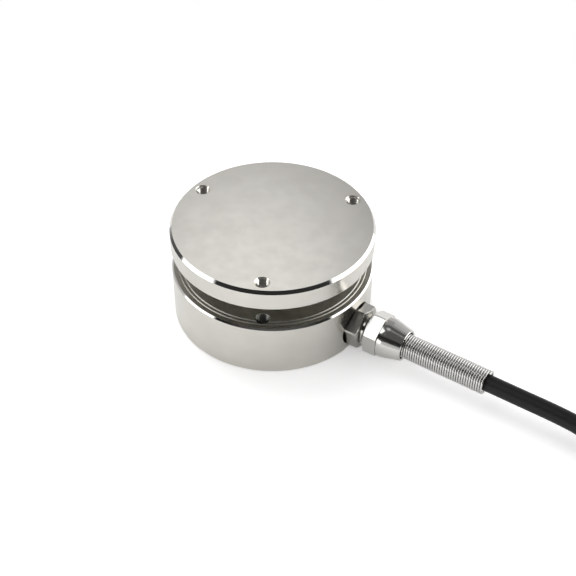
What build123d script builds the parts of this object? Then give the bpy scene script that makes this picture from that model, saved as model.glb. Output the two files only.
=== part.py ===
from build123d import *
import os
from math import cos, pi, radians, sin, sqrt, tan

# Inline load cell: a flange-to-flange force sensor with a spring-guarded cable.
# The origin is at the centre of the base's bottom face, +Z points up through the loading
# flange and +X along the cable gland. Lengths are in millimetres and angles in degrees.

os.makedirs("parts", exist_ok=True)

# Sensing body: loading flange, neck, web and base ring, turned from one bar
body_r = 30.0
body_h = 31.4
neck_relief = 1.2
top_chamfer_r = 0.7
top_chamfer_z = 1.0
edge_break = 0.3
rim_chamfer = 0.45
step_in = 2.0
step_w = 1.0
step_h = 0.2
overrun = 1.0  # how far a cut runs past the face it opens

# Threaded holes, M4, the same three places in both flanges
hole_edge = 4.0
hole_count = 3
hole_angle = 57.7
tap_r = 1.65
top_sink_r = 2.25
base_sink_r = 2.12

# Gauge cavity in the base, its web and its cover
cavity_relief = 1.0
gauge_room = 6.5
boss_h = 2.0
cover_edge = 7.0
cover_ledge = 5.0
cover_t = 2.0
cover_set_back = 0.3
gasket_t = 0.5
fit_gap = 0.15
cover_screw_count = 4
cover_screw_angle = 45.0
cover_screw_r = 1.0
cover_screw_grip = 3.2
screw_head_r = 1.9
thread_gap = 0.05

# Cable gland, along +X from the body
cable_r = 2.5
cable_gap = 0.2
gland_z = 6.8
spot_depth = 2.1
spot_r = 7.75
gland_thread_r = 4.95
port_depth = 4.1
passage_r = 3.0
washer_r = 6.5
washer_t = 0.5
hex_across = 11.8
hex_bar_r = 6.65
body_hex_t = 5.0
body_hex_turn = 47.0
neck_gap = 1.4
cap_hex_t = 4.5
cap_hex_turn = 59.0
hex_chamfer = 30.0
collar_r = 6.1
collar_t = 1.65
cone_t = 5.75
cone_tip_r = 4.7
lip_chamfer = 0.18
grommet_r = 3.9
grommet_set_in = 2.2
grommet_t = 3.4
grommet_squeeze = 0.4
clamp_ring_r = 4.7
clamp_ring_t = 0.8
cap_web_t = 1.4
spring_bore_r = 4.1

# Strain relief spring, wound close from round wire
spring_r = 3.7
wire_r = 0.35
spring_pitch = 0.737
seated_turns = 5
free_turns = 36

# Inside the cavity
gauge_length = 4.0
gauge_width = 3.0
gauge_t = 0.3
gauge_corner = 0.5
gauge_edge = 3.4
gauge_count = 4
gauge_angle = 45.0
lead_w = 1.2
lead_t = 0.2
lead_drop = 2.45
board_t = 1.0
spacer_r = 3.0
spacer_t = 1.5
board_screw_r = 1.25
board_screw_head_r = 2.25
board_screw_head_t = 1.5
board_screw_grip = 4.5
screw_slot_w = 0.6
screw_slot_depth = 0.8
resistor_length = 2.0
resistor_width = 1.25
resistor_t = 0.6
resistor_count = 3
resistor_angle = 60.0
jacket_back = 1.5
core_r = 0.6
core_offset = 0.75
core_room = 1.0

# Cable: 3 m from the spring to the end of its jacket, most of it in a tied coil
cable_length = 3000.0
run_lead = 12.0
run_sag = 1.6
run_straight = 37.0
run_short = 3.0
coil_aside = 18.0
coil_swing = 40.0  # the cable turns aside by this before it meets its coil
turn_gap = 5.3
tied_gap = 5.05
coil_mid_r = 29.4
coil_corner = 2.0
tie_t = 0.7
tie_gap = 0.1
tie_w = 3.8
tie_head = 5.0
tie_head_t = 3.0
tail_sweep = 207.0
sleeve_r = 2.8
sleeve_length = 10.0
core_straight = 7.0
core_fan = 2.6
core_fan_lead = 0.6
core_fan_r = 3.5
core_sweep = 55.0
core_drop_gap = 0.3
drain_r = 0.4
bare_r = 0.35
bare_length = 4.0

# Sizes that follow from the body's
flange_t = 0.2102 * body_h
groove_w = 0.2436 * body_h
neck_r = 0.4 * body_r
step_radii = (body_r - step_in - step_w, body_r - step_in)
hole_circle_r = body_r - hole_edge
cover_r = body_r - cover_edge
cavity_r = cover_r - cover_ledge
screw_circle_r = (cavity_r + cover_r) / 2
boss_r = cavity_r - gauge_room
gauge_circle_r = cavity_r - gauge_edge
board_r = cavity_r / 2
resistor_circle_r = board_r * 2 / 3
jacket_end_x = cavity_r - jacket_back
spot_x = body_r - spot_depth

# Heights and places that follow
flange_z = body_h - flange_t
base_h = flange_z - groove_w
annulus_z = base_h + step_h * len(step_radii)
ledge_z = cover_set_back + cover_t + gasket_t
recess_r = cover_r + fit_gap
board_z = gland_z + core_offset + core_r + core_room
boss_z = board_z + board_t + spacer_t
web_z = boss_z + boss_h
washer_x = spot_x
body_hex_x = washer_x + washer_t
cap_x = body_hex_x + body_hex_t + neck_gap
collar_x = cap_x + cap_hex_t
cone_x = collar_x + collar_t
cap_end_x = cone_x + cone_t
grommet_x = cap_x + grommet_set_in
clamp_x = grommet_x + grommet_t
body_end_x = clamp_x - grommet_squeeze
cap_web_x = clamp_x + clamp_ring_t
spring_x = cap_web_x + cap_web_t
spring_end_x = spring_x + spring_pitch * (seated_turns + free_turns)
coil_rows = round(sqrt(cable_length / (2 * pi * coil_mid_r)))
coil_w = turn_gap * coil_rows + 2 * cable_r  # rows run in and out by a gap more than they hold
coil_h = turn_gap * (coil_rows - 1) + 2 * cable_r
coil_outer_turn_r = coil_mid_r + turn_gap * coil_rows / 2
tied_w = tied_gap * (coil_rows - 1) + 2 * cable_r
tie_inside_w = tied_w + 2 * tie_gap
tie_outside_w = tie_inside_w + 2 * tie_t
tail_z = coil_h + sleeve_r + tie_gap
run_corner_x = spring_end_x + run_straight
entry_x = run_corner_x + coil_aside / tan(radians(coil_swing))
coil_x = entry_x + coil_outer_turn_r * sin(radians(coil_swing))
coil_y = coil_outer_turn_r * cos(radians(coil_swing)) - coil_aside
tie_angle = 90 - coil_swing
tail_angle = tie_angle + tail_sweep

# Datum planes and axes
gland_axis = Axis((0, 0, gland_z), (1, 0, 0))
gland_section = Plane(origin=(0, 0, gland_z), x_dir=(1, 0, 0), z_dir=(0, -1, 0))


def across_gland(x):
    """Plane square to the gland at a distance x, its own x along -Y and its y upwards."""
    return Plane(origin=(x, 0, gland_z), x_dir=(0, -1, 0), z_dir=(-1, 0, 0))


def facing_down(z):
    """Plane at height z that looks down, on which angles run the other way round."""
    return Plane(origin=(0, 0, z), x_dir=(1, 0, 0), z_dir=(0, 0, -1))


def turn_upright(*points, mode=Mode.ADD):
    """Turns an outline of (radius, height) points about the body's own axis."""
    with BuildSketch(Plane.XZ) as outline:
        with BuildLine():
            Polyline(*points, close=True)
        make_face()
    revolve(outline.sketch, axis=Axis.Z, mode=mode)


def turn_on_gland(*points, mode=Mode.ADD):
    """Turns an outline of (distance along the gland, radius) points about the gland."""
    with BuildSketch(gland_section) as outline:
        with BuildLine():
            Polyline(*points, close=True)
        make_face()
    revolve(outline.sketch, axis=gland_axis, mode=mode)


def bore_on_gland(start, end, radius):
    """Cuts a round bore along the gland."""
    turn_on_gland((start, 0), (start, radius), (end, radius), (end, 0), mode=Mode.SUBTRACT)


def circles(part, radius):
    """The round edges of a part that have that radius."""
    round_edges = part.edges().filter_by(GeomType.CIRCLE)
    return round_edges.filter_by(lambda edge: abs(edge.radius - radius) < 0.01)


def hexagon(start, length, flat_angle, cut_start):
    """A hexagon milled on a turned bar, its corners cut back by a shallow cone at one end."""
    end = start + length
    face_r = hex_across / 2 - edge_break
    cut = (hex_bar_r - face_r) * tan(radians(hex_chamfer))
    with BuildSketch(across_gland(start)) as flats:
        RegularPolygon(hex_across / 2, 6, major_radius=False, rotation=flat_angle + 30)
    extrude(flats.sketch, amount=-length)
    if cut_start:
        outline = [(start, face_r), (start + cut, hex_bar_r), (end, hex_bar_r)]
    else:
        outline = [(start, hex_bar_r), (end - cut, hex_bar_r), (end, face_r)]
    turn_on_gland((start, 0), *outline, (end, 0), mode=Mode.INTERSECT)


def bend(before, corner, after):
    """The largest smooth bend at a corner of a route: 0.45 of its shorter run."""
    into = Vector(corner) - Vector(before)
    out = Vector(after) - Vector(corner)
    return 0.45 * min(into.length, out.length) / tan(radians(into.get_angle(out)) / 2)


def round_wire(points, radius, bends):
    """Sweeps a round section along straight runs that tangent arcs join."""
    with BuildLine() as route:
        FilletPolyline(*points, radius=bends)
    path = route.wire()
    with BuildSketch(Plane(origin=path @ 0, z_dir=path % 0)) as section:
        Circle(radius)
    sweep(section.sketch, path=path)
    return path.length


def cable(points, radius, name):
    """A length of cable with the largest bends that its runs allow, and its figures."""
    bends = [bend(*corner) for corner in zip(points, points[1:], points[2:])]
    length = round_wire(points, radius, bends)
    print(name, "is", round(length, 1), "long, with bends of", [round(b, 1) for b in bends])
    return length


def on_coil(radius, angle, z):
    """A point at a radius and an angle about the coil's middle."""
    x = coil_x + radius * cos(radians(angle))
    y = coil_y + radius * sin(radians(angle))
    return (x, y, z)


def save(piece, name):
    """Labels a finished piece and writes it."""
    piece.part.label = name
    export_step(piece.part, f"parts/{name}.step")


# Sensing body: the base ring, its web and boss first, then the neck and loading flange
with BuildPart() as sensing_body:
    turn_upright(
        (0, annulus_z),
        (step_radii[0], annulus_z),
        (step_radii[0] + step_h, annulus_z - step_h),
        (step_radii[1], annulus_z - step_h),
        (step_radii[1] + step_h, base_h),
        (body_r - rim_chamfer, base_h),
        (body_r, base_h - rim_chamfer),
        (body_r, rim_chamfer),
        (body_r - rim_chamfer, 0),
        (recess_r, 0),
        (recess_r, ledge_z),
        (cavity_r, ledge_z),
        (cavity_r, web_z),
        (boss_r, web_z),
        (boss_r, boss_z),
        (0, boss_z),
    )
    chamfer(circles(sensing_body, cavity_r).sort_by(Axis.Z)[-1], cavity_relief)
    with Locations(Plane.XY.offset(annulus_z)):
        with PolarLocations(hole_circle_r, hole_count, start_angle=hole_angle):
            CounterSinkHole(tap_r, base_sink_r, depth=annulus_z + overrun, counter_sink_angle=90)
    with Locations(facing_down(0)):
        with PolarLocations(hole_circle_r, hole_count, start_angle=-hole_angle):
            CounterSinkHole(tap_r, top_sink_r, depth=base_h / 2, counter_sink_angle=90)
    turn_upright(
        (0, web_z),
        (neck_r, web_z),
        (neck_r, flange_z),
        (body_r - edge_break, flange_z),
        (body_r, flange_z + edge_break),
        (body_r, body_h - top_chamfer_z),
        (body_r - top_chamfer_r, body_h),
        (0, body_h),
    )
    chamfer(circles(sensing_body, neck_r), neck_relief)
    with Locations(Plane.XY.offset(body_h)):
        with PolarLocations(hole_circle_r, hole_count, start_angle=hole_angle):
            CounterSinkHole(tap_r, top_sink_r, depth=flange_t + overrun, counter_sink_angle=90)
    with BuildSketch(across_gland(spot_x)):
        Circle(spot_r)
    extrude(amount=spot_x - body_r - overrun, mode=Mode.SUBTRACT)
    with BuildSketch(across_gland(spot_x)):
        Circle(gland_thread_r + thread_gap)
    extrude(amount=port_depth, mode=Mode.SUBTRACT)
    with BuildSketch(across_gland(spot_x)):
        Circle(passage_r)
    extrude(amount=spot_x - cavity_r + overrun, mode=Mode.SUBTRACT)
    with Locations(facing_down(ledge_z)):
        with PolarLocations(screw_circle_r, cover_screw_count, start_angle=-cover_screw_angle):
            Hole(cover_screw_r + thread_gap, depth=cover_screw_grip + overrun)
    with Locations(facing_down(boss_z)):
        Hole(board_screw_r + thread_gap, depth=board_screw_grip + overrun)
save(sensing_body, "sensing_body")

# Bottom cover, its gasket and its countersunk screws
with BuildPart() as bottom_cover:
    with BuildSketch(facing_down(cover_set_back)):
        Circle(cover_r)
    extrude(amount=-cover_t)
    chamfer(bottom_cover.faces().sort_by(Axis.Z)[0].edges(), edge_break)
    with Locations(facing_down(cover_set_back)):
        with PolarLocations(screw_circle_r, cover_screw_count, start_angle=-cover_screw_angle):
            CounterSinkHole(
                cover_screw_r + fit_gap, screw_head_r + fit_gap, counter_sink_angle=90
            )
save(bottom_cover, "bottom_cover")

with BuildPart() as cover_gasket:
    with BuildSketch(Plane.XY.offset(cover_set_back + cover_t)):
        Circle(cover_r)
        Circle(cavity_r + 2 * fit_gap, mode=Mode.SUBTRACT)
        with PolarLocations(screw_circle_r, cover_screw_count, start_angle=cover_screw_angle):
            Circle(cover_screw_r + fit_gap, mode=Mode.SUBTRACT)
    extrude(amount=gasket_t)
save(cover_gasket, "cover_gasket")

with BuildPart() as cover_screw:
    turn_upright(
        (0, cover_set_back),
        (screw_head_r, cover_set_back),
        (cover_screw_r, cover_set_back + screw_head_r - cover_screw_r),
        (cover_screw_r, ledge_z + cover_screw_grip),
        (0, ledge_z + cover_screw_grip),
    )
    with BuildSketch(facing_down(cover_set_back)):
        Rectangle(2 * screw_head_r, screw_slot_w)
    extrude(amount=-screw_slot_depth, mode=Mode.SUBTRACT)
with BuildPart() as cover_screws:
    with PolarLocations(screw_circle_r, cover_screw_count, start_angle=cover_screw_angle):
        add(cover_screw.part)
save(cover_screws, "cover_screws")

# Strain gauges on the underside of the web, and their leads to the board
with BuildPart() as gauge:
    with BuildSketch(Plane.XY.offset(web_z - gauge_t)):
        with Locations((gauge_circle_r, 0)):
            RectangleRounded(gauge_length, gauge_width, gauge_corner)
    extrude(amount=gauge_t)
for index in range(gauge_count):
    turned = gauge_angle + index * 360 / gauge_count
    with BuildPart() as strain_gauge:
        with PolarLocations(0, 1, start_angle=turned):
            add(gauge.part)
    save(strain_gauge, f"strain_gauge_{index + 1}")

lead_out_r = gauge_circle_r - gauge_length / 2 + 2 * lead_t
lead_in_r = board_r - 2 * lead_t
lead_z = web_z - gauge_t - lead_drop
with BuildPart() as gauge_lead:
    with BuildSketch(Plane.XZ) as lead_outline:
        with BuildLine():
            Polyline(
                (lead_out_r, web_z - gauge_t),
                (lead_out_r, lead_z),
                (lead_in_r, lead_z),
                (lead_in_r, board_z + board_t),
                (lead_in_r - lead_t, board_z + board_t),
                (lead_in_r - lead_t, lead_z + lead_t),
                (lead_out_r - lead_t, lead_z + lead_t),
                (lead_out_r - lead_t, web_z - gauge_t),
                close=True,
            )
        make_face()
    extrude(amount=lead_w / 2, both=True)
with BuildPart() as gauge_leads:
    with PolarLocations(0, gauge_count, start_angle=gauge_angle):
        add(gauge_lead.part)
save(gauge_leads, "gauge_leads")

# Bridge board under the boss, with its spacer, screw and trim resistors
with BuildPart() as bridge_board:
    with BuildSketch(Plane.XY.offset(board_z)):
        Circle(board_r)
        Circle(board_screw_r + fit_gap, mode=Mode.SUBTRACT)
    extrude(amount=board_t)
save(bridge_board, "bridge_board")

with BuildPart() as board_spacer:
    with BuildSketch(Plane.XY.offset(board_z + board_t)):
        Circle(spacer_r)
        Circle(board_screw_r + fit_gap, mode=Mode.SUBTRACT)
    extrude(amount=spacer_t)
save(board_spacer, "board_spacer")

with BuildPart() as board_screw:
    head_z = board_z - board_screw_head_t
    turn_upright(
        (0, head_z),
        (board_screw_head_r - edge_break, head_z),
        (board_screw_head_r, head_z + edge_break),
        (board_screw_head_r, board_z),
        (board_screw_r, board_z),
        (board_screw_r, boss_z + board_screw_grip),
        (0, boss_z + board_screw_grip),
    )
    with BuildSketch(facing_down(head_z)):
        Rectangle(2 * board_screw_head_r, screw_slot_w)
    extrude(amount=-screw_slot_depth, mode=Mode.SUBTRACT)
save(board_screw, "board_screw")

with BuildPart() as trim_resistors:
    with BuildSketch(facing_down(board_z)):
        with PolarLocations(resistor_circle_r, resistor_count, start_angle=resistor_angle):
            Rectangle(resistor_width, resistor_length)
    extrude(amount=resistor_t)
save(trim_resistors, "trim_resistors")

# Cable gland: sealing washer, body, grommet, clamp ring and cap
with BuildPart() as gland_washer:
    with BuildSketch(across_gland(washer_x)):
        Circle(washer_r)
        Circle(gland_thread_r + fit_gap, mode=Mode.SUBTRACT)
    extrude(amount=-washer_t)
save(gland_washer, "gland_washer")

with BuildPart() as gland_body:
    hexagon(body_hex_x, body_hex_t, body_hex_turn, cut_start=False)
    stub_x = spot_x - port_depth + 2 * fit_gap
    turn_on_gland(
        (stub_x, 0),
        (stub_x, gland_thread_r - rim_chamfer),
        (stub_x + rim_chamfer, gland_thread_r),
        (body_end_x - rim_chamfer, gland_thread_r),
        (body_end_x, gland_thread_r - rim_chamfer),
        (body_end_x, 0),
    )
    bore_on_gland(stub_x, body_end_x, cable_r + cable_gap)
    bore_on_gland(grommet_x, body_end_x, grommet_r + thread_gap)
save(gland_body, "gland_body")

with BuildPart() as cable_grommet:
    turn_on_gland(
        (grommet_x, cable_r + thread_gap),
        (grommet_x, grommet_r - edge_break),
        (grommet_x + edge_break, grommet_r),
        (clamp_x, grommet_r),
        (clamp_x, cable_r + thread_gap),
    )
save(cable_grommet, "cable_grommet")

with BuildPart() as clamp_ring:
    with BuildSketch(across_gland(clamp_x)):
        Circle(clamp_ring_r)
        Circle(cable_r + cable_gap, mode=Mode.SUBTRACT)
    extrude(amount=-clamp_ring_t)
save(clamp_ring, "clamp_ring")

with BuildPart() as gland_cap:
    hexagon(cap_x, cap_hex_t, cap_hex_turn, cut_start=True)
    turn_on_gland(
        (cap_x + cap_hex_t / 2, 0),
        (cap_x + cap_hex_t / 2, collar_r - edge_break),
        (collar_x, collar_r - edge_break),
        (collar_x + edge_break, collar_r),
        (cone_x, collar_r),
        (cap_end_x, cone_tip_r),
        (cap_end_x, 0),
    )
    bore_on_gland(cap_x, cap_web_x, gland_thread_r + thread_gap)
    bore_on_gland(cap_web_x, spring_x, cable_r + cable_gap)
    bore_on_gland(spring_x, cap_end_x, spring_bore_r)
    chamfer(gland_cap.faces().sort_by(Axis.X)[-1].edges(), lip_chamfer)
save(gland_cap, "gland_cap")

# Strain relief spring: close-wound turns round the cable, the first few inside the cap
with BuildPart() as strain_relief_spring:
    valley_r = spring_r - wire_r
    free_x = spring_x + seated_turns * spring_pitch
    crests = [(spring_x, valley_r), (free_x, valley_r)]
    for index in range(free_turns):
        crests.append((free_x + (index + 0.5) * spring_pitch, spring_r))
        crests.append((free_x + (index + 1) * spring_pitch, valley_r))
    turn_on_gland(
        (spring_x, spring_r - 2 * wire_r),
        *crests,
        (spring_end_x, spring_r - 2 * wire_r),
    )
save(strain_relief_spring, "strain_relief_spring")

# Cable inside the gland and spring, and its four cores in the cavity
with BuildPart() as cable_inner:
    with BuildSketch(across_gland(jacket_end_x)):
        Circle(cable_r)
    extrude(amount=jacket_end_x - spring_end_x)
save(cable_inner, "cable_inner")

core_side = {"red": (-1, 1), "black": (1, 1), "green": (-1, -1), "white": (1, -1)}
for colour, (side, level) in core_side.items():
    core_y = side * core_offset
    core_z = gland_z + level * core_offset
    core_end_x = board_r - 2 + level * core_r
    with BuildPart() as inner_core:
        with BuildLine() as core_path:
            Polyline(
                (jacket_end_x, core_y, core_z),
                (core_end_x, core_y, core_z),
                (core_end_x, core_y, board_z),
            )
        with BuildSketch(Plane(origin=(jacket_end_x, core_y, core_z), z_dir=(-1, 0, 0))):
            Circle(core_r)
        sweep(path=core_path.wire(), transition=Transition.RIGHT)
    save(inner_core, f"inner_core_{colour}")

# Coil of cable as one ring of its outer shape, narrowed where its tie pulls the turns in
coil_axis = Axis((coil_x, coil_y, 0), (0, 0, 1))
coil_section = Plane(origin=(coil_x, coil_y, 0), x_dir=(1, 0, 0), z_dir=(0, -1, 0))
tie_out = Vector(cos(radians(tie_angle)), sin(radians(tie_angle)), 0)
tie_section = Plane(origin=(coil_x, coil_y, 0), x_dir=tie_out, z_dir=tie_out.cross(Vector(0, 0, 1)))

with BuildPart() as cable_coil:
    with BuildSketch(coil_section) as ring_section:
        with Locations((coil_mid_r, coil_h / 2)):
            Rectangle(coil_w, coil_h)
        chamfer(ring_section.vertices(), coil_corner)
    revolve(axis=coil_axis)
    with BuildSketch(tie_section):
        with Locations((coil_mid_r, tie_outside_w / 2)):
            Rectangle(coil_w + 2 * overrun, tie_outside_w + 2 * overrun)
            RectangleRounded(tied_w, tied_w, coil_corner, mode=Mode.SUBTRACT)
    extrude(amount=tie_w / 2 + fit_gap, both=True, mode=Mode.SUBTRACT)
save(cable_coil, "cable_coil")

with BuildPart() as cable_tie:
    with BuildSketch(tie_section):
        with Locations((coil_mid_r, tie_outside_w / 2)):
            RectangleRounded(tie_outside_w, tie_outside_w, coil_corner + tie_t)
            RectangleRounded(tie_inside_w, tie_inside_w, coil_corner, mode=Mode.SUBTRACT)
    extrude(amount=tie_w / 2, both=True)
    with BuildSketch(tie_section):
        with Locations((coil_mid_r, tie_outside_w - tie_t + tie_head_t / 2)):
            Rectangle(tie_head, tie_head_t)
    extrude(amount=tie_head / 2, both=True)
    chamfer(cable_tie.faces().sort_by(Axis.Z)[-1].edges(), edge_break)
save(cable_tie, "cable_tie")

# Cable from the spring down to the coil, and its end along the top of the coil
entry_way = Vector(cos(radians(coil_swing)), -sin(radians(coil_swing)), 0)
run_route = [
    (spring_end_x, 0, gland_z),
    (spring_end_x + run_lead, 0, gland_z),
    (run_corner_x, 0, gland_z - run_sag),
    tuple(Vector(entry_x, -coil_aside, cable_r) - entry_way * run_short),
]
with BuildPart() as cable_run:
    run_length = cable(run_route, cable_r, "cable_run")
    add(cable_coil.part, mode=Mode.SUBTRACT)
save(cable_run, "cable_run")

tail_route = [
    on_coil(coil_mid_r + 8, tail_angle - 104, coil_h - 2),
    on_coil(coil_mid_r + 6.4, tail_angle - 78, coil_h + 1.5),
    on_coil(coil_mid_r + 3, tail_angle - 52, tail_z),
    on_coil(coil_mid_r + 2, tail_angle - 26, tail_z),
    on_coil(coil_mid_r + 2, tail_angle, tail_z),
]
with BuildPart() as cable_tail:
    tail_length = cable(tail_route, cable_r, "cable_tail")
    split(bisect_by=Plane.XY.offset(coil_h), keep=Keep.TOP)
save(cable_tail, "cable_tail")
coil_turns = (cable_length - run_length - tail_length) / (2 * pi * coil_mid_r)
print("the coil holds", round(coil_turns, 2), "turns in", coil_rows, "rows of", coil_rows)

# End of the cable: a sleeve on the jacket, then its cores and the screen's drain wire
tail_end = Vector(*tail_route[-1])
tail_way = (tail_end - Vector(*tail_route[-2])).normalized()
sleeve_end = tail_end + tail_way * sleeve_length
tail_inward = Vector(0, 0, 1).cross(tail_way)
with BuildPart() as cable_end_sleeve:
    with BuildSketch(Plane(origin=tail_end, z_dir=tail_way)):
        Circle(sleeve_r)
    extrude(amount=sleeve_length)
    chamfer(cable_end_sleeve.faces().sort_by(Axis(tail_end, tail_way))[-1].edges(), edge_break)
save(cable_end_sleeve, "cable_end_sleeve")


def loose_core(side, level, place, radius):
    """A core from the sleeve's end to its place in the fan on the coil, and its last two points."""
    start = sleeve_end + tail_inward * side * core_offset + Vector(0, 0, level * core_offset)
    corner = start + tail_way * (core_straight - place * core_fan_lead)
    end_r = coil_mid_r + core_fan_r - place * core_fan
    end = Vector(*on_coil(end_r, tail_angle + core_sweep, coil_h + radius + core_drop_gap))
    round_wire([start, corner, end], radius, [bend(start, corner, end)])
    return corner, end


core_ends = []
fan_place = {"green": -2, "red": -1, "black": 1, "white": 2}
for colour, (side, level) in core_side.items():
    with BuildPart() as core:
        core_ends.append(loose_core(side, level, fan_place[colour], core_r))
    save(core, f"core_{colour}")

with BuildPart() as bare_tips:
    for corner, tip in core_ends:
        with BuildSketch(Plane(origin=tip, z_dir=tip - corner)) as tip_section:
            Circle(bare_r)
        extrude(tip_section.sketch, amount=bare_length)
save(bare_tips, "bare_tips")

with BuildPart() as drain_wire:
    loose_core(0, 0, 0, drain_r)
save(drain_wire, "drain_wire")
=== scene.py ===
# %% [markdown]
# # Dressing an inline load cell
# The object is a small force sensor: one turned steel body with two flanges and a groove between
# them, and a cable that leaves its base through a nickel-plated gland and a close-wound spring.
# The solids are finished already, so this notebook gives them their surfaces, and models
# what a solid holds only roughly: threads, the spring's real helix and the cable's whole length.

# %% The frame that everything is built in
from math import cos, pi, radians, sin, tan

import bpy
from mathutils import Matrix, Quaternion, Vector


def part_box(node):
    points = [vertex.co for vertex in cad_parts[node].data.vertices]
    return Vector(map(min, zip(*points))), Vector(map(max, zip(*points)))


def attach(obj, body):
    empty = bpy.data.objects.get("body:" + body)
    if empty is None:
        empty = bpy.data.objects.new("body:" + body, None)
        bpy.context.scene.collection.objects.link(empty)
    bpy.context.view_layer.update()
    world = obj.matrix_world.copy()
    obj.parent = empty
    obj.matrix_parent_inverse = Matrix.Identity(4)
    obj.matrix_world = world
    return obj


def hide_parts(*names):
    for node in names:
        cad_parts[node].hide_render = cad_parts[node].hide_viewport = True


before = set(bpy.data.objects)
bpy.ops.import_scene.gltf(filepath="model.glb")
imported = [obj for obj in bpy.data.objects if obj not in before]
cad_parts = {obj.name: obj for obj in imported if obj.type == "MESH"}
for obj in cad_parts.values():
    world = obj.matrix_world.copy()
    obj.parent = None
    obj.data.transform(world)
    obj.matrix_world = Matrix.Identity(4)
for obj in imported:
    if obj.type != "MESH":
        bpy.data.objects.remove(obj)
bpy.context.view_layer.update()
mm = 0.001
print(len(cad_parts), "solids loaded")

# %% [markdown]
# ## The camera
# A camera is settled before any surface, because every later look is judged through it. A long lens
# from 35 cm away gives the gentle perspective of a product picture. The camera is turned to look
# along a direction, and then rolled a little about it, as a tripod set by hand would be.

# %% Camera
camera_place = Vector((144.57, -213.52, 242.86)) * mm
look_way = Vector((-0.4015, 0.6166, -0.6772)).normalized()
camera_roll = radians(0.65)
bpy.ops.object.camera_add(location=camera_place)
camera = bpy.context.object
camera.rotation_mode = "QUATERNION"
camera.rotation_quaternion = Quaternion(-look_way, camera_roll) @ look_way.to_track_quat("-Z", "Y")
camera.data.lens = 71.71
camera.data.sensor_width = 36
camera.data.clip_start = 0.01
bpy.context.scene.camera = camera
print("camera stands", round(camera_place.length / mm), "mm from the origin")

# %% [markdown]
# ## Where the pieces are
# Places are read from the solids wherever a solid gives them, so nothing has to be fitted later.
# The gland points along +X, and its axis lies at the middle height of the spring's box.

# %% Places along the gland
spring_low, spring_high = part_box("strain_relief_spring")
spring_start = spring_low.x
spring_end = spring_high.x
spring_r = (spring_high.z - spring_low.z) / 2
gland_z = (spring_high.z + spring_low.z) / 2
cable_r = (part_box("cable_inner")[1].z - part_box("cable_inner")[0].z) / 2
body_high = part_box("sensing_body")[1]
print("gland axis at", round(gland_z / mm, 2), "mm, cable radius", round(cable_r / mm, 2), "mm")

# %% [markdown]
# ## How a finish is built
# Each finish starts as one Principled shader with a plain colour and gloss, and then gets its grain.
# Real metal is never even: the gloss and the colour drift over millimetres, and the tool or the
# abrasive leaves fine marks. Both come from noise on Object coordinates, which stay with the piece.
# The noise's scale counts its lumps in a metre: 140 gives blotches of 7 mm, 6000 a fine grain.

# %% Helpers for finishes
noise_low, noise_high = 0.3, 0.7


def new_finish(name, colour, metallic, roughness):
    """A material with one Principled shader, of one plain colour and gloss."""
    material = bpy.data.materials.new(name)
    material.use_nodes = True
    shader = material.node_tree.nodes["Principled BSDF"]
    shader.inputs["Base Color"].default_value = (*colour, 1)
    shader.inputs["Metallic"].default_value = metallic
    shader.inputs["Roughness"].default_value = roughness
    return material


def noise_on(material, stretch, scale, detail=3.0):
    """Noise in Object coordinates, stretched by a factor along each axis."""
    nodes, links = material.node_tree.nodes, material.node_tree.links
    place = nodes.new("ShaderNodeTexCoord")
    mapping = nodes.new("ShaderNodeMapping")
    mapping.inputs["Scale"].default_value = stretch
    noise = nodes.new("ShaderNodeTexNoise")
    noise.inputs["Scale"].default_value = scale
    noise.inputs["Detail"].default_value = detail
    links.new(place.outputs["Object"], mapping.inputs["Vector"])
    links.new(mapping.outputs["Vector"], noise.inputs["Vector"])
    return noise.outputs["Fac"]


def drift(material, socket, source, low, high):
    """Lets a number on the shader drift between two values with a noise."""
    nodes, links = material.node_tree.nodes, material.node_tree.links
    spread = nodes.new("ShaderNodeMapRange")
    spread.inputs["From Min"].default_value = noise_low
    spread.inputs["From Max"].default_value = noise_high
    spread.inputs["To Min"].default_value = low
    spread.inputs["To Max"].default_value = high
    links.new(source, spread.inputs["Value"])
    links.new(spread.outputs["Result"], nodes["Principled BSDF"].inputs[socket])


def mottle(material, source, dark, light):
    """Lets the colour drift between two close tones with a noise."""
    nodes, links = material.node_tree.nodes, material.node_tree.links
    ramp = nodes.new("ShaderNodeValToRGB")
    ramp.color_ramp.elements[0].position = noise_low
    ramp.color_ramp.elements[0].color = (*dark, 1)
    ramp.color_ramp.elements[1].position = noise_high
    ramp.color_ramp.elements[1].color = (*light, 1)
    links.new(source, ramp.inputs["Fac"])
    links.new(ramp.outputs["Color"], nodes["Principled BSDF"].inputs["Base Color"])


def grain(material, source, strength, depth):
    """Turns a noise into fine relief on the surface."""
    nodes, links = material.node_tree.nodes, material.node_tree.links
    bump = nodes.new("ShaderNodeBump")
    bump.inputs["Strength"].default_value = strength
    bump.inputs["Distance"].default_value = depth
    links.new(source, bump.inputs["Height"])
    links.new(bump.outputs["Normal"], nodes["Principled BSDF"].inputs["Normal"])


print("noise is used from", noise_low, "to", noise_high)

# %% [markdown]
# ## Steel of the body
# The body is one bar, but each of its faces was finished differently: the top was ground flat and
# is satin, the rims were turned and are smoother, the chamfer was cut last and is nearly a mirror,
# and the groove kept its rougher tool marks. The groove's steel is also painted darker, as painted
# shade under the flange. So each face gets its own material.

# %% Body finishes
even = (1, 1, 1)
round_lines = (0.02, 0.02, 1)

ground_steel = new_finish("ground_steel", (0.68, 0.658, 0.605), 1, 0.3)
mottle(ground_steel, noise_on(ground_steel, even, 140, 4), (0.675, 0.655, 0.61), (0.715, 0.695, 0.65))
drift(ground_steel, "Roughness", noise_on(ground_steel, even, 300, 3), 0.172, 0.202)
grain(ground_steel, noise_on(ground_steel, even, 6000, 2), 0.12, 0.01 * mm)

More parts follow.
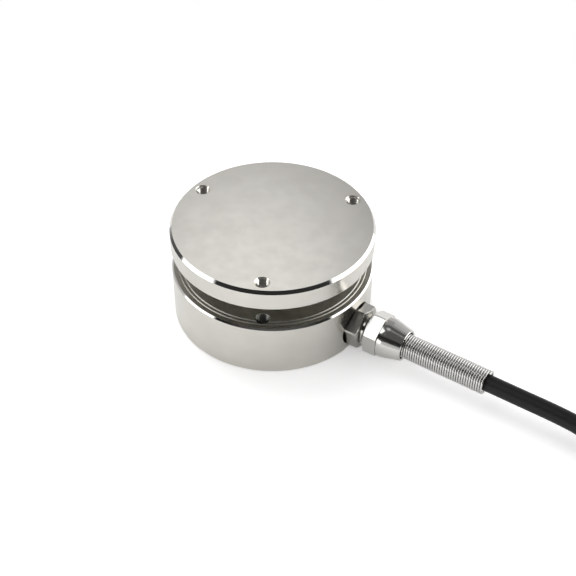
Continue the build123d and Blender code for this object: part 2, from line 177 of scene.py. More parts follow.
turned_steel = new_finish("turned_steel", (0.72, 0.70, 0.65), 1, 0.2)
mottle(turned_steel, noise_on(turned_steel, even, 180, 4), (0.70, 0.68, 0.63), (0.74, 0.72, 0.67))
drift(turned_steel, "Roughness", noise_on(turned_steel, round_lines, 4000), 0.15, 0.24)
grain(turned_steel, noise_on(turned_steel, round_lines, 9000), 0.12, 0.01 * mm)

bright_steel = new_finish("bright_steel", (0.74, 0.73, 0.71), 1, 0.06)
drift(bright_steel, "Roughness", noise_on(bright_steel, round_lines, 3000), 0.04, 0.09)

# The groove's colour is darker than the rims' as painted shade under the flange; its rough gloss is
# the real tool marks.
shaded_groove_steel = new_finish("shaded_groove_steel", (0.50, 0.50, 0.47), 1, 0.44)
mottle(shaded_groove_steel, noise_on(shaded_groove_steel, even, 400, 4), (0.44, 0.43, 0.385), (0.55, 0.535, 0.485))
drift(shaded_groove_steel, "Roughness", noise_on(shaded_groove_steel, round_lines, 2500), 0.36, 0.5)
grain(shaded_groove_steel, noise_on(shaded_groove_steel, round_lines, 5000, 2), 0.3, 0.02 * mm)

# The walls of the holes in the base are nearly black steel: painted shade inside the holes.
shaded_bore_steel = new_finish("shaded_bore_steel", (0.2, 0.2, 0.19), 1, 0.35)
drift(shaded_bore_steel, "Roughness", noise_on(shaded_bore_steel, round_lines, 3000), 0.28, 0.42)
body_finishes = (ground_steel, turned_steel, bright_steel, shaded_groove_steel, shaded_bore_steel)
print("steel finishes:", [finish.name for finish in body_finishes])

# %% [markdown]
# ## The body as one smooth piece
# A solid arrives as loose triangles, and polished steel shows every one of them. So the body is
# copied, its points are merged, its triangles paired to quads, and its faces smoothed up to a
# sharp angle that keeps each real edge. The copy then stands for the solid.

# %% Welding a solid's copy
merge_gap = 0.0005 * mm
flat_within = radians(3)
sharp_edge = radians(14)


def select_only(piece):
    """Makes one piece the only selected and active one."""
    bpy.ops.object.select_all(action="DESELECT")
    piece.select_set(True)
    bpy.context.view_layer.objects.active = piece


def welded(node, name):
    """A merged and smoothed copy of a solid, which then stands for it."""
    piece = bpy.data.objects.new(name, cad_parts[node].data.copy())
    bpy.context.scene.collection.objects.link(piece)
    piece.data.materials.clear()
    select_only(piece)
    bpy.ops.mesh.customdata_custom_splitnormals_clear()
    bpy.ops.object.mode_set(mode="EDIT")
    bpy.ops.mesh.select_mode(type="VERT")
    bpy.ops.mesh.select_all(action="SELECT")
    bpy.ops.mesh.remove_doubles(threshold=merge_gap)
    bpy.ops.mesh.tris_convert_to_quads(face_threshold=flat_within, shape_threshold=pi)
    bpy.ops.object.mode_set(mode="OBJECT")
    bpy.ops.object.shade_smooth_by_angle(angle=sharp_edge)
    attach(piece, "root")
    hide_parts(node)
    print(name, "has", len(piece.data.polygons), "faces")
    return piece


body = welded("sensing_body", "turned_body")

# %% [markdown]
# ## Holes opened for their threads
# A hole is drilled narrower than its screw, and the thread is cut into its wall. The solid has the
# drill's width, so ridges added to it would hide in the steel. A boolean with a wider cylinder
# would open the holes but leave long thin faces, so each ring of points is widened instead.

# %% Places about the holes
hole_circle_r, tap_r, thread_r = 26.0, 1.65, 1.98
hole_angles = [57.7, 177.7, 297.7]
close_to = 0.03


def hole_middle(angle):
    """The place, in metres, where a hole's axis meets the floor."""
    return Vector((cos(radians(angle)), sin(radians(angle)), 0)) * hole_circle_r * mm


def near_hole(at, angle):
    """How far a place lies from the axis of one of the threaded holes."""
    return (at - hole_middle(angle) / mm).xy.length


def near_any_hole(at):
    """How far a place lies from the nearest threaded hole's axis."""
    return min(near_hole(at, angle) for angle in hole_angles)


def select_points(piece, wanted):
    """Selects the points that pass a test, for edit mode."""
    for face in piece.data.polygons:
        face.select = False
    for edge in piece.data.edges:
        edge.select = False
    for point in piece.data.vertices:
        point.select = wanted(point.co / mm)


def move_ring(piece, angle, radius, height, wider, lift):
    """Widens one ring of points about a hole's axis, and lifts it."""
    select_points(piece, lambda at: abs(near_hole(at, angle) - radius) < close_to
                  and abs(at.z - height) < close_to)
    factor = (radius + wider) / radius
    bpy.ops.object.mode_set(mode="EDIT")
    bpy.ops.transform.resize(value=(factor, factor, 1), center_override=hole_middle(angle))
    bpy.ops.transform.translate(value=(0, 0, lift * mm))
    bpy.ops.object.mode_set(mode="OBJECT")


print("hole axes at", hole_angles, "degrees, on a radius of", hole_circle_r, "mm")

# %% Rings of the holes moved out
body_top = body_high.z / mm
flange_low = 24.8
sink_r = 2.25
sink_deep = sink_r - tap_r
sink_mid_r = (tap_r + sink_r) / 2
opened = thread_r - tap_r
base_rim_r, base_rim_z, base_rim_out, base_rim_up = 1.9, 17.335, 0.08, 0.015
base_sink_z, base_sink_up = 17.08, 0.27
# Each ring has its radius, its height, how much wider it gets and how far it is lifted.
hole_rings = [
    (sink_mid_r, body_top - sink_deep / 2, opened / 2, opened / 2),
    (tap_r, body_top - sink_deep, opened, opened),
    (tap_r, flange_low, opened, 0),
    (base_rim_r, base_rim_z, base_rim_out, base_rim_up),
    (tap_r, base_sink_z, opened, base_sink_up),
    (sink_mid_r, sink_deep / 2, opened / 2, -opened / 2),
    (tap_r, sink_deep, opened, -opened),
]
for angle in hole_angles:
    for radius, height, wider, lift in hole_rings:
        move_ring(body, angle, radius, height, wider, lift)
print("holes opened to", thread_r, "mm radius")

# %% [markdown]
# ## The spot face round the gland
# The picture shows the flat that the gland seats on barely wider than its hexagon. A cut by a
# boolean would break up the smooth wall round it. So the flat's two rings of points are drawn in
# about the gland's axis, and the outer one is laid back on the body.

# %% Spot face drawn in
spot_r, close_spot_r, body_r = 7.75, 6.85, body_high.x / mm
spot_from_x, spot_rim_from_x = 27.8, 28
axis_z = gland_z / mm


def off_axis(at):
    """How far a place lies from the gland's axis."""
    return Vector((at.y, at.z - axis_z)).length


def draw_in(factor):
    """Draws the selected points in about the gland's axis."""
    bpy.ops.object.mode_set(mode="EDIT")
    bpy.ops.transform.resize(value=(1, factor, factor), center_override=(0, 0, gland_z))
    bpy.ops.object.mode_set(mode="OBJECT")


select_points(body, lambda at: at.x > spot_from_x and abs(off_axis(at) - spot_r) < close_to)
draw_in(close_spot_r / spot_r)
rim = [point for point in body.data.vertices if point.select and point.co.x > spot_rim_from_x * mm]
for point in rim:
    point.co.x = (body_r ** 2 - (point.co.y / mm) ** 2) ** 0.5 * mm
print(len(rim), "points of the rim laid back on the body")

# %% [markdown]
# ## Which face gets which finish
# Painting the finishes on by hand would need a picture laid over the body. But each face of a turned
# part is known by its height, its distance from the axis and the way it looks, so a short test finds
# it. The first finish goes everywhere, and each later one takes its own faces from it.

# %% Giving a finish to some faces
slant_low, slant_high = 0.3, 0.95


def finish_faces(piece, material, wanted):
    """Gives a finish to the faces whose middle and normal pass a test."""
    piece.data.materials.append(material)
    index = len(piece.data.materials) - 1
    for face in piece.data.polygons:
        if wanted(face.center / mm, face.normal):
            face.material_index = index


def everywhere(at, way):
    """Takes every face."""
    return True


def slanted(upward):
    """Whether a face is neither upright nor level, from its normal's upward share."""
    return slant_low < upward < slant_high


print("a face is slanted from", slant_low, "to", slant_high)

# %% Tests for the body's faces
groove_low, groove_high, groove_rim_r = 17.1, 24.85, 29.4
chamfer_from_r, under_low, under_high = 29, 24.7, 25.2
base_sink_low, base_sink_high, base_sink_r = 17.3, 17.6, 2.12
bore_low, bore_high, bore_from_r, bore_r = 7, 16.8, 23.5, 2.1
top_skin = 0.01


def is_top(at, way):
    """The ground face that takes the load."""
    return at.z > body_top - top_skin


def is_upper_chamfer(at, way):
    """The chamfers that look up, on the flange and on the base."""
    return at.xy.length > chamfer_from_r and slanted(way.z)


def is_under_chamfer(at, way):
    """The chamfer under the flange."""
    return under_low < at.z < under_high and slanted(-way.z) and at.xy.length > chamfer_from_r


def is_groove(at, way):
    """The groove's wall and steps."""
    return groove_low < at.z < groove_high and at.xy.length < groove_rim_r


def is_base_sink(at, way):
    """The small sinks of the holes in the base."""
    in_sink = base_sink_low < at.z < base_sink_high and near_any_hole(at) < base_sink_r
    return in_sink and slanted(way.z)


def is_base_bore(at, way):
    """The walls of the holes in the base."""
    deep = bore_low < at.z < bore_high and at.xy.length > bore_from_r
    return deep and near_any_hole(at) < bore_r


print("the groove runs from", groove_low, "to", groove_high, "mm")

# %% Finishes on the body
finish_faces(body, turned_steel, everywhere)
finish_faces(body, ground_steel, is_top)
finish_faces(body, bright_steel, is_upper_chamfer)
finish_faces(body, bright_steel, is_under_chamfer)
finish_faces(body, shaded_groove_steel, is_groove)
finish_faces(body, bright_steel, is_base_sink)
finish_faces(body, shaded_bore_steel, is_base_bore)
print("the body has", len(set(body.data.materials)), "finishes")

# %% [markdown]
# ## Threads in the holes
# A thread is a ridge that winds up the wall of its hole. One triangle is set beside the hole's
# axis and swept by a Screw modifier, then the finished ridge is copied to the other holes by
# turning it about the middle of the body. Bump alone would be lost at the hole's bright rim.

# %% Helical ridges
ridge_steps, ridge_smooth = 28, 20


def wind(piece, axis, turns, climb, steps, place, smooth_below):
    """Winds a section about an axis into a closed helix, and puts it in its place."""
    screw = piece.modifiers.new("turns", "SCREW")
    screw.axis = axis
    screw.angle = 2 * pi
    screw.steps = screw.render_steps = steps
    screw.iterations = turns
    screw.screw_offset = climb
    bpy.ops.object.modifier_apply(modifier="turns")
    bpy.ops.object.mode_set(mode="EDIT")
    bpy.ops.mesh.select_all(action="SELECT")
    bpy.ops.mesh.fill_holes(sides=0)
    bpy.ops.mesh.normals_make_consistent(inside=False)
    bpy.ops.transform.translate(value=place)
    bpy.ops.object.mode_set(mode="OBJECT")
    bpy.ops.object.shade_smooth_by_angle(angle=radians(smooth_below))
    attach(piece, "root")
    print(piece.name, "has", len(piece.data.polygons), "faces")


def ridge(name, place, root, crest, pitch, start, length, axis):
    """A thread's ridge about an axis along Z or X, as one closed swept triangle."""
    bpy.ops.object.select_all(action="DESELECT")
    bpy.ops.mesh.primitive_circle_add(vertices=3, radius=1)
    piece = bpy.context.object
    piece.name = name
    corners = [(root, 0), (crest, pitch / 2), (root, pitch)]
    for point, (out, up) in zip(piece.data.vertices, corners):
        flat = Vector((out, 0, start + up)) if axis == "Z" else Vector((start + up, 0, out))
        point.co = flat * mm
    wind(piece, axis, int(length / pitch), pitch * mm, ridge_steps, place, ridge_smooth)
    return piece


def to_each_hole(piece):
    """Copies a ridge to the other two holes about the body's middle."""
    select_only(piece)
    bpy.ops.object.mode_set(mode="EDIT")
    bpy.ops.mesh.select_all(action="SELECT")
    for _ in range(2):
        bpy.ops.mesh.duplicate()
        bpy.ops.transform.rotate(value=2 * pi / 3, orient_axis="Z", center_override=(0, 0, 0))
    bpy.ops.object.mode_set(mode="OBJECT")


# %% Threads of the flange and of the base
thread_root, thread_pitch = 2.0, 0.7
flange_thread_z, flange_thread_deep = 24.95, 6.0
base_thread_z, base_thread_deep = 10.0, 7.0
first_hole = hole_middle(hole_angles[0])
flange_threads = ridge("flange_threads", first_hole, thread_root, tap_r, thread_pitch,
                       flange_thread_z, flange_thread_deep, "Z")
base_threads = ridge("base_threads", first_hole, thread_root, tap_r, thread_pitch,
                     base_thread_z, base_thread_deep, "Z")
# The base's threads take the same dark steel, painted shade inside the holes.
for threads, finish in ((flange_threads, turned_steel), (base_threads, shaded_bore_steel)):
    to_each_hole(threads)
    threads.data.materials.append(finish)
print("threads copied to", len(hole_angles), "holes")

# %% [markdown]
# ## Nickel, spring steel and black plastics
# The gland is nickel-plated brass, bright with fine turning marks. The cap is the brighter part. The
# jacket of the cable is soft and black with a satin gloss that is never quite even.

# %% Other finishes
along_gland = (1, 0.02, 0.02)
nickel = new_finish("nickel_plate", (0.70, 0.69, 0.665), 1, 0.12)
drift(nickel, "Roughness", noise_on(nickel, even, 1200), 0.08, 0.18)
grain(nickel, noise_on(nickel, along_gland, 9000), 0.08, 0.01 * mm)

dull_nickel = new_finish("dull_nickel", (0.5, 0.49, 0.46), 1, 0.28)
drift(dull_nickel, "Roughness", noise_on(dull_nickel, even, 600), 0.2, 0.24)

spring_wire = new_finish("spring_wire", (0.64, 0.635, 0.62), 1, 0.1)
drift(spring_wire, "Roughness", noise_on(spring_wire, even, 2500), 0.06, 0.13)

black_jacket = new_finish("black_jacket", (0.01, 0.01, 0.011), 0, 0.4)
black_jacket.node_tree.nodes["Principled BSDF"].inputs["Specular IOR Level"].default_value = 0.25
drift(black_jacket, "Roughness", noise_on(black_jacket, even, 700), 0.34, 0.48)
grain(black_jacket, noise_on(black_jacket, even, 3500), 0.12, 0.03 * mm)

black_seal = new_finish("black_seal", (0.012, 0.012, 0.012), 0, 0.6)
grain(black_seal, noise_on(black_seal, even, 4000), 0.2, 0.03 * mm)

black_nylon = new_finish("black_nylon", (0.014, 0.014, 0.014), 0, 0.32)
grain(black_nylon, noise_on(black_nylon, even, 2500), 0.1, 0.03 * mm)
other_finishes = (nickel, dull_nickel, spring_wire, black_jacket, black_seal, black_nylon)
print("other finishes:", [finish.name for finish in other_finishes])

# %% [markdown]
# ## The gland
# The gland screws into the base with a hexagon, and its cap screws on that with another. Milled
# corners are never knife-sharp, and their narrow rounding is what catches the light along a
# hexagon's edges, so a Bevel modifier rounds them. Between the hexagons the fine thread shows. Its
# neck is narrowed to the thread's root, and the hexagon's back is set nearer to the body, because
# the picture shows hardly any gap there.

# %% Softened corners
corner_from = radians(50)


def soften_corners(piece, width):
    """Rounds the sharp edges of a welded piece by a small bevel."""
    select_only(piece)
    bevel = piece.modifiers.new("corners", "BEVEL")
    bevel.width = width * mm
    bevel.segments = 2
    bevel.limit_method = "ANGLE"
    bevel.angle_limit = corner_from
    bpy.ops.object.modifier_apply(modifier="corners")
    bpy.ops.object.shade_smooth_by_angle(angle=sharp_edge)
    print(piece.name, "has its corners rounded by", width, "mm")


# %% The gland's first hexagon and neck
neck_r, neck_root = 4.95, 4.45
back_x, back_from_r, pressed_in = 28.4, 5.5, 0.35
gland_nut = welded("gland_body", "gland_nut")
select_points(gland_nut, lambda at: abs(off_axis(at) - neck_r) < close_to)
draw_in(neck_root / neck_r)
select_points(gland_nut, lambda at: abs(at.x - back_x) < close_to and off_axis(at) > back_from_r)
bpy.ops.object.mode_set(mode="EDIT")
bpy.ops.transform.translate(value=(-pressed_in * mm, 0, 0))
bpy.ops.object.mode_set(mode="OBJECT")
soften_corners(gland_nut, 0.25)
finish_faces(gland_nut, dull_nickel, everywhere)

# %% The thread on the neck
neck_thread_x, neck_thread_long, neck_pitch = 33.1, 2.3, 0.75
neck_thread = ridge("neck_thread", (0, 0, gland_z), neck_root, neck_r, neck_pitch,
                    neck_thread_x, neck_thread_long, "X")
neck_thread.data.materials.append(nickel)

# %% The gland's cap
gland_nose = welded("gland_cap", "gland_nose")
soften_corners(gland_nose, 0.1)
finish_faces(gland_nose, nickel, everywhere)

# %% The seal, pressed between gland and body
seal_r, pressed_seal_r = 6.5, 5.9
gland_seal = welded("gland_washer", "gland_seal")
select_points(gland_seal, lambda at: abs(off_axis(at) - seal_r) < close_to)
draw_in(pressed_seal_r / seal_r)
finish_faces(gland_seal, black_seal, everywhere)

# %% [markdown]
# ## The spring
# The guard on the cable is a close-wound spring. One round section is set out on the side of the
# gland's axis and wound as the ridges are, one turn for each coil of wire. Its two cut ends are
# closed with it. Bump could draw turns on a tube, but their outline would stay straight.

# %% Spring helix
spring_turns = 41
wire_r = 0.325 * mm
wire_sides, wire_steps, wire_smooth = 12, 40, 60
spring_climb = (spring_end - spring_start - 2 * wire_r) / (spring_turns - 1)
bpy.ops.object.select_all(action="DESELECT")
bpy.ops.mesh.primitive_circle_add(vertices=wire_sides, radius=wire_r, rotation=(pi / 2, 0, 0))
spring = bpy.context.object
spring.name = "guard_spring"
bpy.ops.object.mode_set(mode="EDIT")
bpy.ops.mesh.select_all(action="SELECT")
bpy.ops.transform.translate(value=(spring_start + wire_r, 0, spring_r - wire_r))
bpy.ops.object.mode_set(mode="OBJECT")
bpy.ops.object.transform_apply(location=True, rotation=True, scale=True)
wind(spring, "X", spring_turns - 1, spring_climb, wire_steps, (0, 0, gland_z), wire_smooth)
spring.data.materials.append(spring_wire)
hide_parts("strain_relief_spring")

# %% [markdown]
# ## The cable
# A cable keeps its length, so it is one smooth curve: straight out of the spring, aside and down
# to the floor, round and round in a tied coil, and over the coil to its end. Its turns are wound
# by a loop, in rows that run inwards and outwards by turns, as a hand winds them. Each row climbs
# to the next one opposite the tie, where the turns lie four by four.

# %% Where the coil lies
coil_mid_r = 29.4
turn_gap, tied_gap, tie_lift = 5.3, 5.05, 0.8
coil_rows, turns_a_row, coil_turns = 4, 4, 15.62
steps_a_turn = 16
climb_share, tie_share = 0.17, 0.09
coil_swing, straight_run, beside_run = 40, 37, 18
swing = radians(coil_swing)
entry_x = spring_end / mm + straight_run + beside_run / tan(swing)
coil_outer_r = coil_mid_r + turn_gap * turns_a_row / 2
coil_x = entry_x + coil_outer_r * sin(swing)
coil_y = coil_outer_r * cos(swing) - beside_run
cable_mm = cable_r / mm
print("the coil's middle is at", round(coil_x, 1), round(coil_y, 1), "mm")

# %% Points of the coil
def on_coil(radius, angle, height):
    """A point of the route about the coil's middle, in metres."""
    x = coil_x + radius * cos(radians(angle))
    y = coil_y + radius * sin(radians(angle))
    return Vector((x, y, height)) * mm


def smooth(share):
    """Eases a share from 0 to 1."""
    share = min(1, max(0, share))
    return share * share * (3 - 2 * share)


def wound(turn):
    """The point of the coil after a number of turns from where the cable comes in."""
    row = min(int(turn / turns_a_row), coil_rows - 1)
    run = turn - row * turns_a_row
    inwards = row % 2 == 0
    from_middle = (turns_a_row / 2 - run) * (1 if inwards else -1)
    height_row = sum(
        smooth((turn - next_row * turns_a_row) / (2 * climb_share) + 0.5)
        for next_row in range(1, coil_rows)
    )
    tied = max(0, 1 - abs(turn % 1 - 0.5) / tie_share)
    gap = turn_gap + (tied_gap - turn_gap) * tied
    bow = 1 / cos(pi / steps_a_turn)
    radius = (coil_mid_r + from_middle * gap) * bow
    height = cable_mm + tie_lift * tied + height_row * gap
    return on_coil(radius, 270 - coil_swing + 360 * turn, height)


coil_high = turn_gap * (coil_rows - 1) + 2 * cable_mm
print("the coil is", round(coil_high, 1), "mm high")

# %% The whole route
run_points = [
    Vector((spring_end, 0, gland_z)),
    Vector((spring_end + 12 * mm, 0, gland_z)),
    Vector((spring_end + 22 * mm, 0, gland_z)),
    Vector((spring_end + 30 * mm, -0.3 * mm, 6.3 * mm)),
    Vector((spring_end + 37 * mm, -3 * mm, 5.0 * mm)),
    Vector((entry_x - 15 * cos(swing), 15 * sin(swing) - beside_run, 3.5)) * mm,
    Vector((entry_x - 6 * cos(swing), 6 * sin(swing) - beside_run, cable_mm)) * mm,
]
turn_points = [wound(step / steps_a_turn) for step in range(1, int(coil_turns * steps_a_turn))]
tail_lift, tail_end = 2.9, 297
tail_high = coil_high + tail_lift
tail_angle = tail_end - coil_swing
tail_points = [
    on_coil(coil_mid_r + 9.6, tail_angle - 152, coil_high - 2.2),
    on_coil(coil_mid_r + 10, tail_angle - 128, coil_high - 0.8),
    on_coil(coil_mid_r + 9.4, tail_angle - 104, coil_high + 1.8),
    on_coil(coil_mid_r + 7, tail_angle - 78, coil_high + 3.4),
    on_coil(coil_mid_r + 3, tail_angle - 52, tail_high),
    on_coil(coil_mid_r + 2, tail_angle - 26, tail_high),
    on_coil(coil_mid_r + 2, tail_angle, tail_high),
]
route = run_points + turn_points + tail_points
print("route has", len(route), "points")

# %% Cable as one curve
cable_line = bpy.data.curves.new("signal_cable", "CURVE")
cable_line.dimensions = "3D"
cable_line.bevel_depth = cable_r
cable_line.bevel_resolution = 5
cable_line.resolution_u = 5
cable_line.use_fill_caps = True
spline = cable_line.splines.new("NURBS")
spline.points.add(len(route) - 1)
for point, place in zip(spline.points, route):
    point.co = (*place, 1)
spline.order_u = 3
spline.use_endpoint_u = True
cable = bpy.data.objects.new("signal_cable", cable_line)
bpy.context.scene.collection.objects.link(cable)
cable_line.materials.append(black_jacket)
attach(cable, "root")
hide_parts("cable_run", "cable_coil", "cable_tail")
on_cable = ["cable_tie", "cable_end_sleeve", "core_red", "core_black", "core_green", "core_white"]
on_cable += ["bare_tips", "drain_wire"]

# %% [markdown]
# ## Small solids that keep their shape
# The cover, screws, cores and the parts inside the cavity are right as they stand, so they aren't
# copied. Each gets a finish in its own slot: plain steel, glossy insulation, circuit board and so
# on. Two small functions make them, one for plastics and one for metals.

# %% Finishes for the small solids
def plastic(name, colour, roughness):
    """A coloured plastic with a faint grain."""
    material = new_finish(name, colour, 0, roughness)
    grain(material, noise_on(material, even, 3000), 0.08, 0.02 * mm)
    return material


def metal(name, colour, roughness):
    """A plain metal whose gloss drifts a little."""
    material = new_finish(name, colour, 1, roughness)
    drift(material, "Roughness", noise_on(material, even, 500), roughness * 0.85, roughness * 1.15)
    return material


cover_steel = metal("cover_steel", (0.58, 0.58, 0.57), 0.28)
screw_steel = metal("screw_steel", (0.50, 0.50, 0.50), 0.22)
copper = metal("lead_copper", (0.78, 0.45, 0.28), 0.25)
tinned = metal("tinned_copper", (0.72, 0.71, 0.69), 0.3)
brass = metal("clamp_brass", (0.76, 0.6, 0.32), 0.25)
gauge_film = plastic("gauge_film", (0.45, 0.22, 0.04), 0.35)
board_green = plastic("board_green", (0.02, 0.13, 0.05), 0.35)
natural_nylon = plastic("natural_nylon", (0.72, 0.7, 0.63), 0.45)
core_colours = {
    "red": plastic("core_red_skin", (0.5, 0.015, 0.015), 0.3),
    "black": plastic("core_black_skin", (0.012, 0.012, 0.012), 0.3),
    "green": plastic("core_green_skin", (0.01, 0.2, 0.05), 0.3),
    "white": plastic("core_white_skin", (0.75, 0.75, 0.73), 0.3),
}
plain_finish = {
    "bottom_cover": cover_steel,
    "cover_gasket": black_seal,
    "cover_screws": screw_steel,
    "board_screw": screw_steel,
    "gauge_leads": copper,
    "bridge_board": board_green,
    "board_spacer": natural_nylon,
    "trim_resistors": black_nylon,
    "cable_grommet": black_seal,
    "clamp_ring": brass,
    "cable_inner": black_jacket,
    "cable_tie": black_nylon,
    "cable_end_sleeve": black_seal,
    "bare_tips": tinned,
    "drain_wire": tinned,
}
for number in range(1, 5):
    plain_finish[f"strain_gauge_{number}"] = gauge_film
for colour, material in core_colours.items():
    plain_finish[f"inner_core_{colour}"] = material
    plain_finish[f"core_{colour}"] = material
for node, material in plain_finish.items():
    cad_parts[node].data.materials.clear()
    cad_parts[node].data.materials.append(material)
print(len(plain_finish), "solids finished")

# %% [markdown]
# ## Floor
# The object stands on white paper. A white plane would render grey in this soft light, and stronger
# light would burn out the metal. So the camera, and in part the metal, sees the paper with a little
# light of its own: it goes to plain white for the camera and keeps a faint shadow.

# %% Floor
paper_size, paper_middle_x, paper_drop = 0.36, 0.05, 0.02
paper_white, paper_glow, glow_in_metal = 0.9, 0.36, 0.2
bpy.ops.object.select_all(action="DESELECT")
bpy.ops.mesh.primitive_plane_add(size=paper_size, location=(paper_middle_x, 0, -paper_drop * mm))
bpy.ops.object.transform_apply(location=True, rotation=True, scale=True)
floor = bpy.context.object
floor.name = "paper_floor"
paper = bpy.data.materials.new("white_paper")
paper.use_nodes = True
nodes, links = paper.node_tree.nodes, paper.node_tree.links
nodes.clear()
path = nodes.new("ShaderNodeLightPath")
diffuse = nodes.new("ShaderNodeBsdfDiffuse")
diffuse.inputs["Color"].default_value = (paper_white, paper_white, paper_white, 1)
glow = nodes.new("ShaderNodeEmission")
glow.inputs["Strength"].default_value = paper_glow
lifted = nodes.new("ShaderNodeAddShader")
chosen = nodes.new("ShaderNodeMixShader")
surface = nodes.new("ShaderNodeOutputMaterial")
links.new(diffuse.outputs["BSDF"], lifted.inputs[0])
links.new(glow.outputs["Emission"], lifted.inputs[1])
seen = nodes.new("ShaderNodeMath")
seen.operation = "MAXIMUM"
links.new(path.outputs["Is Camera Ray"], seen.inputs[0])
in_metal = nodes.new("ShaderNodeMath")
in_metal.operation = "MULTIPLY"
in_metal.inputs[1].default_value = glow_in_metal
links.new(path.outputs["Is Glossy Ray"], in_metal.inputs[0])
links.new(in_metal.outputs["Value"], seen.inputs[1])
links.new(seen.outputs["Value"], chosen.inputs["Fac"])
links.new(diffuse.outputs["BSDF"], chosen.inputs[1])
links.new(lifted.outputs["Shader"], chosen.inputs[2])
links.new(chosen.outputs["Shader"], surface.inputs["Surface"])
floor.data.materials.append(paper)
print("paper floor of", paper_size, "m laid")

# %% [markdown]
# ## Light
# Metal shows the room. Product pictures of turned parts are taken in a white tent with a dark gap
# where the camera looks in, and that gap is what draws the black line on a chamfer. Lamps would
# show on every polished edge as spots, so the tent here is the world itself: its brightness depends
# on the direction, given by two angles in degrees, the turn from the gap and the height.

# %% Helpers for the tent
world = bpy.data.worlds.new("light_tent")
bpy.context.scene.world = world
world.use_nodes = True
nodes, links = world.node_tree.nodes, world.node_tree.links
nodes.clear()


def number_node(kind, first, second=None, third=None):
    """A Math node on values or sockets, and its output."""
    node = nodes.new("ShaderNodeMath")
    node.operation = kind
    for socket, value in zip(node.inputs, (first, second, third)):
        if isinstance(value, bpy.types.NodeSocket):
            links.new(value, socket)
        elif value is not None:
            socket.default_value = value
    return node.outputs[0]


def along(way, direction):
    """How far a direction points along a way."""
    node = nodes.new("ShaderNodeVectorMath")
    node.operation = "DOT_PRODUCT"
    links.new(direction, node.inputs[0])
    node.inputs[1].default_value = way
    return node.outputs["Value"]


def rise(value, low, high):
    """Rises smoothly from 0 to 1 between two values."""
    node = nodes.new("ShaderNodeMapRange")
    node.interpolation_type = "SMOOTHSTEP"
    links.new(value, node.inputs["Value"])
    node.inputs["From Min"].default_value = low
    node.inputs["From Max"].default_value = high
    return node.outputs["Result"]


def fall(value, low, high):
    """Falls smoothly from 1 to 0 between two values."""
    return number_node("SUBTRACT", 1, rise(value, low, high))


def both(*masks):
    """Where all of some masks hold."""
    shared = masks[0]
    for mask in masks[1:]:
        shared = number_node("MULTIPLY", shared, mask)
    return shared


def stepped(level, mask, step):
    """Adds a step to a level where a mask holds."""
    return number_node("MULTIPLY_ADD", mask, step, level)


def darkened(level, mask, share):
    """Takes a share of a level away where a mask holds."""
    return number_node("MULTIPLY", level, stepped(1, mask, -share))


# %% Directions
gap_way = Vector((0.5606, -0.8281, 0))
right_way = Vector((0.8281, 0.5606, 0))
to_degrees = 180 / pi
direction = nodes.new("ShaderNodeTexCoord").outputs["Generated"]
turn = number_node("ARCTAN2", along(right_way, direction), along(gap_way, direction))
turn = number_node("MULTIPLY", turn, to_degrees)
height = number_node("MULTIPLY", number_node("ARCSINE", along((0, 0, 1), direction)), to_degrees)
print("turn is measured from", tuple(round(part, 2) for part in gap_way))

# %% [markdown]
# ## The dark gap in front
# Its half width is 61 degrees at the chamfer's height, more above that, and less again near the top
# and low down. A wing to the left, in a narrow band of heights, darkens the line along the spring
# and the walls of the holes.

# %% Front gap
gap_half, gap_soft = 61, 3
over_chamfer = number_node("MAXIMUM", number_node("SUBTRACT", height, 25), 0)
gap_edge = stepped(gap_half, number_node("MINIMUM", over_chamfer, 20), 0.5)
gap_edge = stepped(gap_edge, rise(height, 44, 50), -16)
gap_edge = stepped(gap_edge, fall(height, 12, 17), -20)
left_wing = both(rise(height, 36, 38), fall(height, 46, 50), fall(turn, -50, -40))
gap_edge = stepped(gap_edge, left_wing, 45)
past_gap = number_node("SUBTRACT", number_node("ABSOLUTE", turn), gap_edge)
beside = rise(past_gap, -gap_soft, gap_soft)
front_gap = both(number_node("SUBTRACT", 1, beside), rise(height, 12, 18))
print("front gap", 2 * gap_half, "degrees wide")

# %% [markdown]
# ## Walls, soft boxes and smaller gaps
# Two bright soft boxes stand beside the gap and give the chamfer its white ends. A round lamp at the
# back lights the middle of the ground top. The wall grows darker upwards, which shades round
# pieces. A gap at the left back draws the dark line at the left end of the flange's chamfer, and one
# above the front draws the dark band along the cone. Straight overhead the tent is light again, so
# that the top is bright when it is seen from above.

# %% Soft boxes
box_level = 2.2
box_back = stepped(-104, rise(height, 42, 50), -25)
from_back = rise(number_node("SUBTRACT", turn, box_back), 0, 5)
left_box = both(from_back, fall(turn, -35, -25), fall(height, 70, 74))
right_box = both(rise(turn, 0, 20), fall(turn, 120, 150), fall(height, 40, 55))
boxes = both(number_node("ADD", left_box, right_box), beside)
print("two soft boxes at", box_level)

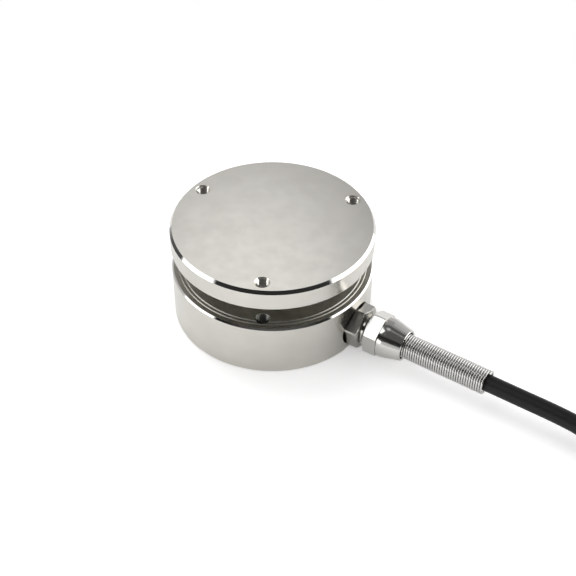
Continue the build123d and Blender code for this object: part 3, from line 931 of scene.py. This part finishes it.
# %% Walls and gaps
back_lamp_way = Vector((-0.4295, 0.589, 0.6845))
back_lamp = rise(along(back_lamp_way, direction), 0.988, 0.9995)
wall = stepped(0.9, rise(height, -4, 4), -0.15)
wall = stepped(wall, rise(height, 25, 35), -0.33)
wall = stepped(wall, rise(height, 60, 72), -0.3)
past_chamfer = number_node("MULTIPLY_ADD", turn, -0.53, height)
left_gap = both(rise(turn, -150, -122), fall(turn, -104, -99), fall(past_chamfer, 62, 67))
top_gap = both(rise(turn, -45, -35), fall(turn, 118, 128), rise(height, 49, 52))
tent = stepped(wall, back_lamp, 1.12)
tent = stepped(tent, boxes, box_level)
tent = darkened(tent, front_gap, 0.95)
tent = darkened(tent, left_gap, 0.86)
tent = darkened(tent, top_gap, 0.8)
least_light, overhead_light, tent_level = 0.13, 0.8, 0.8
tent = number_node("MAXIMUM", tent, number_node("MULTIPLY", rise(height, 36, 46), least_light))
tent = number_node("MAXIMUM", tent, number_node("MULTIPLY", rise(height, 80, 85), overhead_light))
tent = number_node("MULTIPLY", tent, tent_level)
print("tent set from", len(nodes), "nodes")

# %% [markdown]
# ## What the floor and the camera see
# Paper and plastics are lit by a plain soft light from above, so that the shadow doesn't follow the
# tent's stripes, and the camera sees a white background. Only reflections see the tent.

# %% World for each kind of ray
key_way = Vector((-0.55, 0.30, 0.78))
soft_light = stepped(0.6, rise(along(key_way, direction), 0.86, 0.98), 2.4)
path = nodes.new("ShaderNodeLightPath")
lit = nodes.new("ShaderNodeMix")
links.new(path.outputs["Is Diffuse Ray"], lit.inputs[0])
links.new(tent, lit.inputs[2])
links.new(soft_light, lit.inputs[3])
level = nodes.new("ShaderNodeMix")
links.new(path.outputs["Is Camera Ray"], level.inputs[0])
links.new(lit.outputs[0], level.inputs[2])
level.inputs[3].default_value = 1.0
light = nodes.new("ShaderNodeBackground")
light.inputs["Color"].default_value = (1, 1, 1, 1)
links.new(level.outputs[0], light.inputs["Strength"])
surface = nodes.new("ShaderNodeOutputWorld")
links.new(light.outputs["Background"], surface.inputs["Surface"])
print("studio set")

# %% [markdown]
# ## Closing the frame
# The picture is shown without a film look, so that a colour comes out as it is written.

# %% Colour of the picture
bpy.context.scene.view_settings.view_transform = "Standard"
print("view transform:", bpy.context.scene.view_settings.view_transform)
